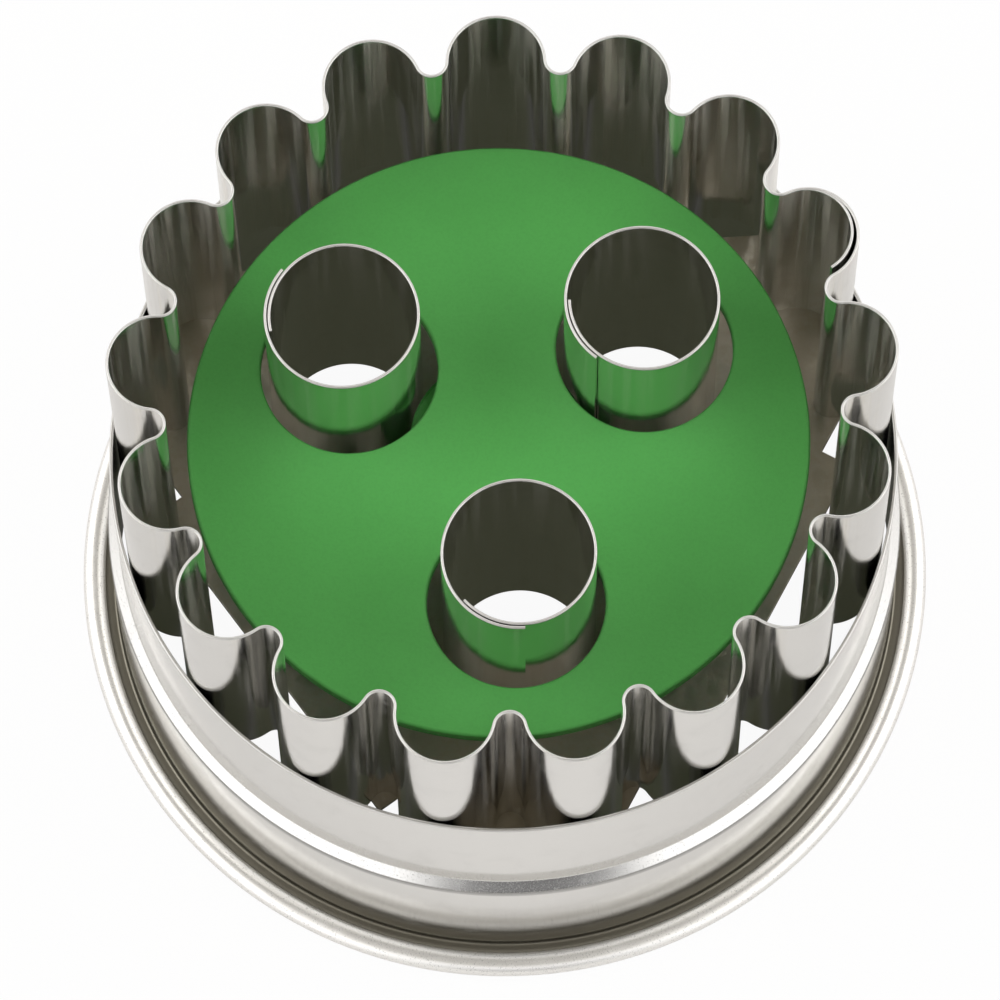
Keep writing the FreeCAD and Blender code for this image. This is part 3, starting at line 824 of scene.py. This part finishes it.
class LINZER_OT_tubes(bpy.types.Operator):
    """Makes the three eye tubes, each rolled from a strip with lapped ends"""

    bl_idname = "linzer.tubes"
    bl_label = "Eye Tubes"

    def execute(self, context):
        sizes = context.scene.linzer.tube
        finish = context.scene.linzer.finish
        half = sizes.sheet / 2
        shrink = (sizes.sheet + sizes.lap_gap) / 2
        outer = sizes.radius - half
        inner = outer - shrink
        # The upright streaks on the tubes are painted reflection.
        metal = sheet_metal(
            "tube_metal", tuple(finish.tube), finish.strip_gloss, "up", rim=sizes.edge,
            streak_reflection=finish.tube_streak_reflection)
        section = rim_section(sizes.sheet, sizes.foot, sizes.edge)
        for node, (out, direction, lap, hand) in EYES.items():
            spots = []
            for middle, radius, first, last in (
                (0.0, outer, -sizes.lap_half, math.pi),
                (-shrink, inner, math.pi, 2 * math.pi + sizes.lap_half),
            ):
                for turn in spread(first, last, 96):
                    spot = (middle + radius * math.cos(turn), radius * math.sin(turn), turn)
                    if not spots or abs(spot[2] - spots[-1][2]) > 1e-6:
                        spots.append(spot)
            x0, y0 = polar(out, math.radians(direction))
            c, s = math.cos(math.radians(lap)), math.sin(math.radians(lap))
            path = []
            for x, y, turn in spots:
                y, ny = y * hand, math.sin(turn) * hand
                nx = math.cos(turn)
                path.append((x0 + x * c - y * s, y0 + x * s + y * c, nx * c - ny * s, nx * s + ny * c))
            bm = bmesh.new()
            sweep(bm, path, section)
            finish_piece(node.replace("eye_tube", "rolled_tube"), bm, metal, "cutter", node)
        return {"FINISHED"}


class LINZER_OT_plate(bpy.types.Operator):
    """Makes the three-cornered base plate with its tabs and drawn collar"""

    bl_idname = "linzer.plate"
    bl_label = "Base Plate"

    def execute(self, context):
        sizes = context.scene.linzer.plate
        tube = context.scene.linzer.tube
        finish = context.scene.linzer.finish
        guide = context.scene.linzer.pusher.guide
        edge = sizes.sheet * 0.15
        corner, side, notch = sizes.corner - edge, sizes.side - edge, sizes.notch - edge
        start = sizes.notch_start - edge
        reach = math.sqrt(corner ** 2 - notch ** 2)
        first_side = sizes.turn + THIRD / 2
        middles = [first_side, first_side + THIRD + sizes.lean, first_side + 2 * THIRD - sizes.lean]
        outline = []
        for number, turn in enumerate(middles):
            for out, along in (
                (notch, -reach), (notch, -start), (side, -start),
                (side, start), (notch, start), (notch, reach),
            ):
                x, y = polar(out, turn)
                outline.append((x - along * math.sin(turn), y + along * math.cos(turn)))
            following = middles[(number + 1) % len(middles)] + 2 * math.pi * (number + 1 == len(middles))
            half = math.acos(notch / corner)
            outline += arc((0.0, 0.0), corner, turn + half, following - half, 24)[1:-1]
        holes = [
            circle(polar(out, math.radians(direction)), tube.radius + edge, 96)
            for out, direction, _, _ in EYES.values()
        ]
        holes.append(circle((guide, 0.0), sizes.bore + edge, 48))
        blank = pressed_sheet("plate_blank", outline, holes, sizes.sheet, edge, sizes.level)
        bm = bmesh.new()
        bm.from_mesh(blank)
        bpy.data.meshes.remove(blank)
        top = sizes.level + sizes.sheet
        wall = sizes.bore + sizes.collar
        root = sizes.collar * 0.6
        collar = [(sizes.bore, sizes.level + edge), (sizes.bore, top + sizes.collar_tall - edge)]
        collar += [(sizes.bore + edge, top + sizes.collar_tall), (wall - edge, top + sizes.collar_tall)]
        collar += [(wall, top + sizes.collar_tall - edge), (wall, top + root)]
        collar += arc((wall + root, top + root), root, math.pi, 1.5 * math.pi, 6)[1:]
        collar += [(wall + root, sizes.level + edge)]
        lathe(bm, collar, steps=64, across=guide)
        half, low, high = sizes.sheet / 2, sizes.level - sizes.tab_drop, top - edge
        corners = [(-half, low), (half, low), (half, high), (-half, high)]
        section = rounded(corners, [half * 0.6, half * 0.6, half * 0.9, 0.0])
        middle = sizes.corner - sizes.sheet / 2
        for number in range(3):
            tab = sizes.turn + THIRD * number
            turns = spread(tab - sizes.tab_half, tab + sizes.tab_half, 16)
            sweep(bm, [(*polar(middle, turn), math.cos(turn), math.sin(turn)) for turn in turns], section)
        # The plate's light colour is partly painted light, and its upright streaks are painted reflection.
        metal = sheet_metal(
            "plate_metal", tuple(finish.plate), finish.plate_gloss, "up", streak_reflection=finish.plate_streak_reflection)
        finish_piece("corner_plate", bm, metal, "cutter", "base_plate")
        return {"FINISHED"}


class LINZER_OT_pusher(bpy.types.Operator):
    """Makes the green push-out plate: a disc with three clearance holes, and its hub"""

    bl_idname = "linzer.pusher"
    bl_label = "Push-Out Plate"

    def execute(self, context):
        sizes = context.scene.linzer.pusher
        edge = sizes.edge
        holes = [
            circle(polar(sizes.hole_circle, sizes.hole_turn + THIRD * number), sizes.hole + edge, 128)
            for number in range(3)
        ]
        rim = circle((sizes.guide, 0.0), sizes.radius - edge, 360)
        disc = pressed_sheet("push_disc", rim, holes, sizes.thick, edge, sizes.under)
        bm = bmesh.new()
        bm.from_mesh(disc)
        bpy.data.meshes.remove(disc)
        inset = sizes.thick * 0.5
        inner_edge, outer_edge = 0.0001, 0.0002
        bore_top, recess_top = sizes.foot + sizes.bore_deep, sizes.foot + sizes.recess_deep
        hub = [(0.0, sizes.under + inset), (0.0, bore_top), (sizes.bore, bore_top)]
        hub += [(sizes.bore, recess_top), (sizes.recess, recess_top)]
        hub += [(sizes.recess, sizes.foot + inner_edge)]
        hub += [(sizes.recess + inner_edge, sizes.foot), (sizes.hub - outer_edge, sizes.foot)]
        hub += [(sizes.hub, sizes.foot + outer_edge)]
        hub += arc((sizes.hub + sizes.root, sizes.under - sizes.root), sizes.root, math.pi, math.pi / 2, 10)
        hub += [(sizes.hub + sizes.root, sizes.under + inset)]
        lathe(bm, hub, steps=128, closed=False, across=sizes.guide)
        plastic = moulded_green("green_plastic", tuple(context.scene.linzer.finish.green))
        finish_piece("push_out_plate", bm, plastic, "ejector", "ejector_plate")
        return {"FINISHED"}


class LINZER_OT_pin(bpy.types.Operator):
    """Makes the headed push pin"""

    bl_idname = "linzer.pin"
    bl_label = "Push Pin"

    def execute(self, context):
        sizes = context.scene.linzer.pin
        finish = context.scene.linzer.finish
        foot = sizes.head_top - sizes.head_thick
        dome = (sizes.head ** 2 + sizes.dome ** 2) / (2 * sizes.dome)
        reach = math.asin(sizes.head / dome)
        soft = 0.00015
        profile = [
            (dome * math.sin(turn), foot + dome - dome * math.cos(turn))
            for turn in spread(0.0, reach * 0.97, 12)
        ]
        profile += [(sizes.head, foot + sizes.dome + soft), (sizes.head, sizes.head_top - soft)]
        profile += [(sizes.head - soft, sizes.head_top), (sizes.radius + soft, sizes.head_top)]
        profile += [(sizes.radius, sizes.head_top + soft), (sizes.radius, sizes.tip - soft)]
        profile += [(sizes.radius - soft, sizes.tip), (0.0, sizes.tip)]
        bm = bmesh.new()
        lathe(bm, profile, steps=72, closed=False, across=context.scene.linzer.pusher.guide)
        steel = turned_steel("pin_metal", tuple(finish.pin), gloss=0.26, pitch=9000.0)
        finish_piece("headed_pin", bm, steel, "ejector", "push_pin")
        return {"FINISHED"}


class LINZER_OT_spring(bpy.types.Operator):
    """Makes the conical return spring, which closes as the plate is pushed out"""

    bl_idname = "linzer.spring"
    bl_label = "Return Spring"

    def execute(self, context):
        sizes = context.scene.linzer.spring
        finish = context.scene.linzer.finish
        rise = sizes.high - sizes.low - 2 * sizes.wire
        flat = 0.6 / sizes.turns    # part of the wire that lies nearly flat at each end
        line = []
        for done in spread(0.0, 1.0, int(sizes.turns * 48)):
            climb = min(1.0, max(0.0, (done - flat) / (1 - 2 * flat)))
            climb = 0.08 * done + 0.92 * climb
            radius = sizes.narrow + (sizes.wide - sizes.narrow) * done
            turn = 2 * math.pi * sizes.turns * done
            line.append(Vector((*polar(radius, turn), sizes.low + sizes.wire + rise * climb)))
        bm = bmesh.new()
        coil(bm, line, sizes.wire, count=14)
        bmesh.ops.translate(bm, verts=bm.verts, vec=(context.scene.linzer.pusher.guide, 0.0, 0.0))
        wire = turned_steel("spring_wire", tuple(finish.wire), gloss=0.22, pitch=5000.0)
        piece = finish_piece(
            "coiled_spring", bm, wire, "cutter", "return_spring", crease=60.0)
        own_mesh(piece)
        return {"FINISHED"}


class LINZER_OT_stage(bpy.types.Operator):
    """Makes the pale table, the tent of light round it and the camera"""

    bl_idname = "linzer.stage"
    bl_label = "Studio"

    def execute(self, context):
        sizes = context.scene.linzer.studio
        self.make_floor(context, sizes)
        self.make_world(context, sizes)
        self.make_lamps(context, sizes)
        self.make_camera(context, sizes)
        context.scene.view_settings.view_transform = "Standard"
        return {"FINISHED"}

    def make_floor(self, context, sizes):
        """Pale table that looks white to the camera, and shaded to what mirrors it under the cutter."""
        half = sizes.floor / 2
        corners = ((-half, -half), (half, -half), (half, half), (-half, half))
        bm = bmesh.new()
        bm.faces.new([bm.verts.new((x, y, 0.0)) for x, y in corners])
        mesh = bpy.data.meshes.new("table")
        bm.to_mesh(mesh)
        bm.free()
        material = bpy.data.materials.new("pale_table")
        shading = Shading(material)
        where = shading.place()
        across, depth, _ = shading.split(where)
        paper = shading.noise(where, 900.0, detail=3.0)
        tone = shading.blend(paper * 0.2, tuple(sizes.floor_colour), tint(tuple(sizes.floor_colour), 0.97))
        lit = shading.add("ShaderNodeBsdfDiffuse", sockets={"Color": tone})
        radius = (across * across + depth * depth).root()
        under = shading.fade(radius, 0.0235, 0.026, 1.0, 0.0)    # as far out as the ring's wall
        seen = shading.add("ShaderNodeLightPath", result="Is Camera Ray")
        mirrored = shading.add("ShaderNodeLightPath", result="Is Glossy Ray")
        glow = shading.blend(under * (1.0 - seen), WHITE, tuple(sizes.shade))
        bright = shading.add("ShaderNodeEmission", sockets={"Color": glow, "Strength": 1.0})
        factor = (seen * 0.95 + mirrored * 0.05).smaller(1.0)
        shading.end(shading.add("ShaderNodeMixShader", sockets={0: factor, 1: lit, 2: bright}))
        mesh.materials.append(material)
        table = bpy.data.objects.new("table", mesh)
        context.scene.collection.objects.link(table)

    def make_world(self, context, sizes):
        """Tent of light: bright sides, a dark top over the camera, and a darker front."""
        world = bpy.data.worlds.new("light_tent")
        context.scene.world = world
        shading = Shading(world)
        across, depth, up = shading.split(shading.add("ShaderNodeTexCoord", result="Generated"))
        flat = (across * across + depth * depth).root().larger(0.001)
        front = (across * math.sin(sizes.front) - depth * math.cos(sizes.front)) / flat
        side = shading.add("ShaderNodeValToRGB", {"stops": SIDE_TENT}, {"Fac": up})
        slot = shading.add("ShaderNodeValToRGB", {"stops": FRONT_TENT}, {"Fac": up})
        middle = shading.fade(front, 0.905, 0.98)    # cosines of the way from the front
        tent = shading.blend(middle, side, slot)
        seen = shading.add("ShaderNodeLightPath", result="Is Camera Ray")
        shown = shading.blend(seen, tent, WHITE)
        light = shading.add("ShaderNodeBackground", sockets={"Color": shown, "Strength": 1.0})
        shading.end(light, "ShaderNodeOutputWorld")

    def make_lamps(self, context, sizes):
        """Two softboxes, left and right of the cutter."""
        for name, side in (("left_softbox", -1), ("right_softbox", 1)):
            lamp = bpy.data.lights.new(name, "AREA")
            lamp.shape = "RECTANGLE"
            lamp.size = sizes.lamp_wide
            lamp.size_y = sizes.lamp_tall
            lamp.energy = sizes.lamp_power
            box = bpy.data.objects.new(name, lamp)
            box.location = (side * sizes.lamp_out, 0.0, sizes.lamp_high)
            box.rotation_mode = "QUATERNION"
            box.rotation_quaternion = (Vector((0, 0, 0.02)) - box.location).to_track_quat("-Z", "Y")
            context.scene.collection.objects.link(box)

    def make_camera(self, context, sizes):
        """Camera at the photograph's viewing angle."""
        ahead = Vector((0, math.cos(sizes.elevation), -math.sin(sizes.elevation)))
        right = Vector((1, 0, 0))
        up = right.cross(ahead)
        c, s = math.cos(sizes.roll), math.sin(sizes.roll)
        axes = (right * c + up * s, up * c - right * s, -ahead)
        turned = Matrix([[axis[row] for axis in axes] for row in range(3)])
        lens = bpy.data.cameras.new("camera")
        lens.sensor_width = 36.0
        lens.lens = sizes.lens
        lens.clip_start = 0.01
        lens.clip_end = 20.0
        camera = bpy.data.objects.new("camera", lens)
        camera.matrix_world = Matrix.LocRotScale(
            Vector((sizes.aim_x, 0.0, sizes.aim_z)) - ahead * sizes.away, turned, None)
        context.scene.collection.objects.link(camera)
        context.scene.camera = camera


MAKERS = (
    LINZER_OT_ring,
    LINZER_OT_strip,
    LINZER_OT_tubes,
    LINZER_OT_plate,
    LINZER_OT_pusher,
    LINZER_OT_pin,
    LINZER_OT_spring,
    LINZER_OT_stage,
)


class LINZER_PT_panel(bpy.types.Panel):
    """Lists the operators in the sidebar"""

    bl_idname = "LINZER_PT_panel"
    bl_label = "Linzer Cutter"
    bl_space_type = "VIEW_3D"
    bl_region_type = "UI"
    bl_category = "Linzer Cutter"

    def draw(self, context):
        for maker in MAKERS:
            self.layout.operator(maker.bl_idname)


CLASSES = (
    RingSizes, StripSizes, TubeSizes, PlateSizes, PusherSizes, PinSizes, SpringSizes,
    Finishes, StudioSizes, CutterSettings, *MAKERS, LINZER_PT_panel,
)


def register():
    for item in CLASSES:
        bpy.utils.register_class(item)
    bpy.types.Scene.linzer = bpy.props.PointerProperty(type=CutterSettings)


def unregister():
    del bpy.types.Scene.linzer
    for item in reversed(CLASSES):
        bpy.utils.unregister_class(item)


def main():
    register()
    bpy.ops.linzer.ring()
    bpy.ops.linzer.strip()
    bpy.ops.linzer.tubes()
    bpy.ops.linzer.plate()
    bpy.ops.linzer.pusher()
    bpy.ops.linzer.pin()
    bpy.ops.linzer.spring()
    bpy.ops.linzer.stage()


if __name__ == "__main__":
    main()
